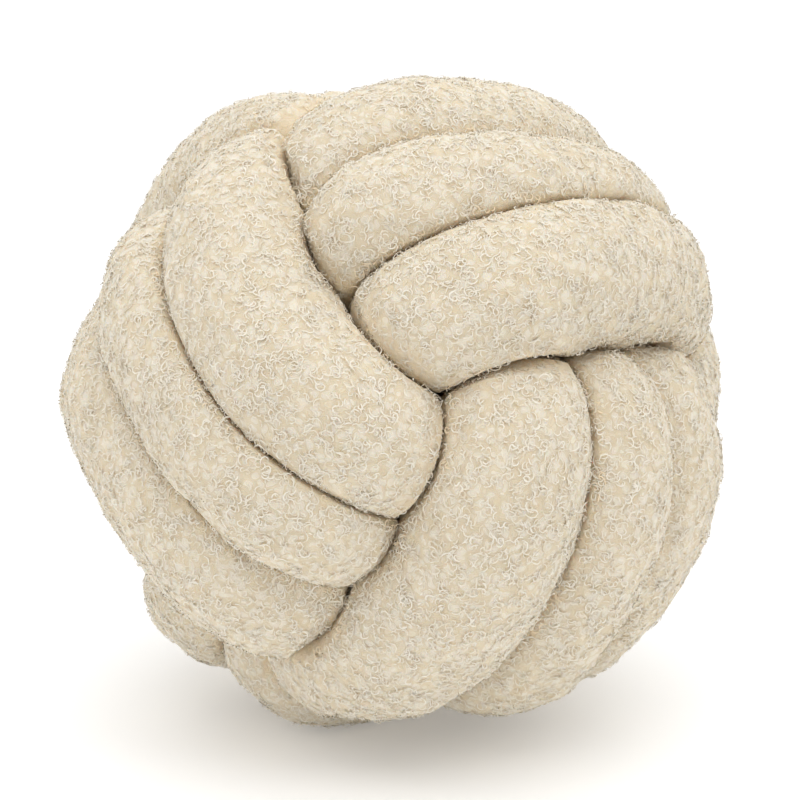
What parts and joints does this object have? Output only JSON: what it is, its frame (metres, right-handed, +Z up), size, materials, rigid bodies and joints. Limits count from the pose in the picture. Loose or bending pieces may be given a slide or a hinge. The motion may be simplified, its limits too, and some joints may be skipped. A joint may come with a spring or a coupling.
{
  "type": "knot cushion",
  "caption": "Round ball-shaped cushion made of a stuffed looped-cloth tube wound into a tight knot of crossing bands.",
  "frame": {"origin": "middle of the bounding box's underside, on the surface the cushion rests on", "axes": "+Z up, out of the resting surface; -Y is the front, the side where three bands of the knot meet at a corner; +X to the right seen from the front"},
  "size_m": [0.2978, 0.2932, 0.2963],
  "materials": {
    "cream_looped_cloth": "matt looped pile, cream"
  },
  "bodies": {
    "root": {"knotted_tube": "cream_looped_cloth"}
  },
  "joints": []
}
